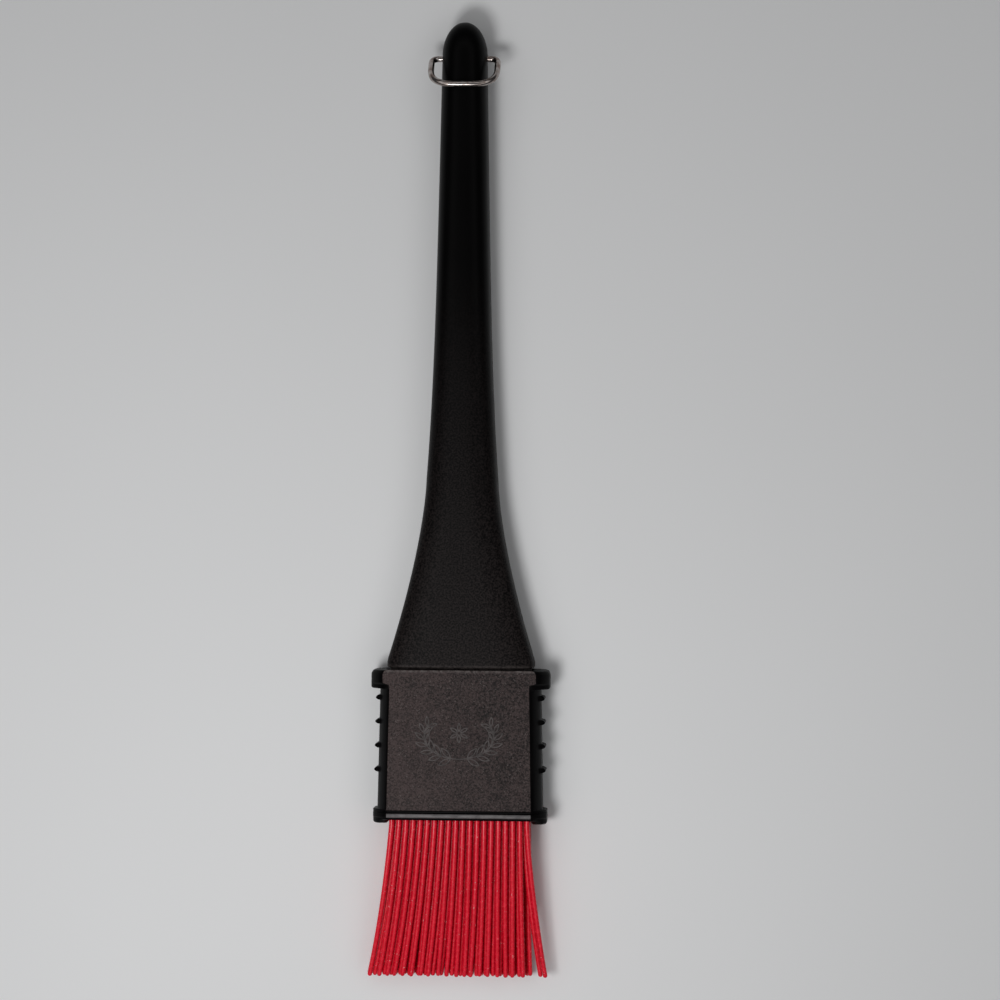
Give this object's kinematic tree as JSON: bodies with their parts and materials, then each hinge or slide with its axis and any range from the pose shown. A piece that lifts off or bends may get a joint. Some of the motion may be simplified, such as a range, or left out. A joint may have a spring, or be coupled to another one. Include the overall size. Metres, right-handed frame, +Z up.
{
  "type": "pastry brush",
  "caption": "Flat silicone pastry and basting brush: slim black handle that flares to a pull-off head sleeve, fanned red silicone bristles, and a folding wire hanging ring.",
  "frame": {"origin": "on the surface that the brush lies on, under the middle of its bounding box", "axes": "+X across the brush to the right seen from the front with the ring at the top, +Y along the brush from the bristle tips to the ring, +Z up out of the front face, away from the surface"},
  "size_m": [0.0536, 0.28, 0.0177],
  "materials": {
    "handle": "satin black moulding, fine grain towards the shoulder",
    "hanging_ring": "bright nickel-plated wire",
    "head_sleeve": "brown-black moulding with a fine spark-eroded grain",
    "bar_retainer": "plain black moulding",
    "bristles": "satin red silicone rubber"
  },
  "bodies": {
    "handle": {"handle": "handle"},
    "ring": {"hanging_ring": "hanging_ring"},
    "head": {"head_sleeve": "head_sleeve", "bar_retainer": "bar_retainer", "bristle_row_1": "bristles", "bristle_row_2": "bristles", "bristle_row_3": "bristles", "bristle_row_4": "bristles", "bristle_row_5": "bristles"}
  },
  "joints": [
    {"name": "ring_swing", "type": "hinge", "parent": "handle", "child": "ring", "pos_m": [0, 0.1293, 0.008], "axis": [-1, 0, 0], "range_deg": [0, 266]},
    {"name": "head_pull", "type": "slide", "parent": "handle", "child": "head", "axis": [0, -1, 0], "range_m": [0, 0.03]}
  ]
}
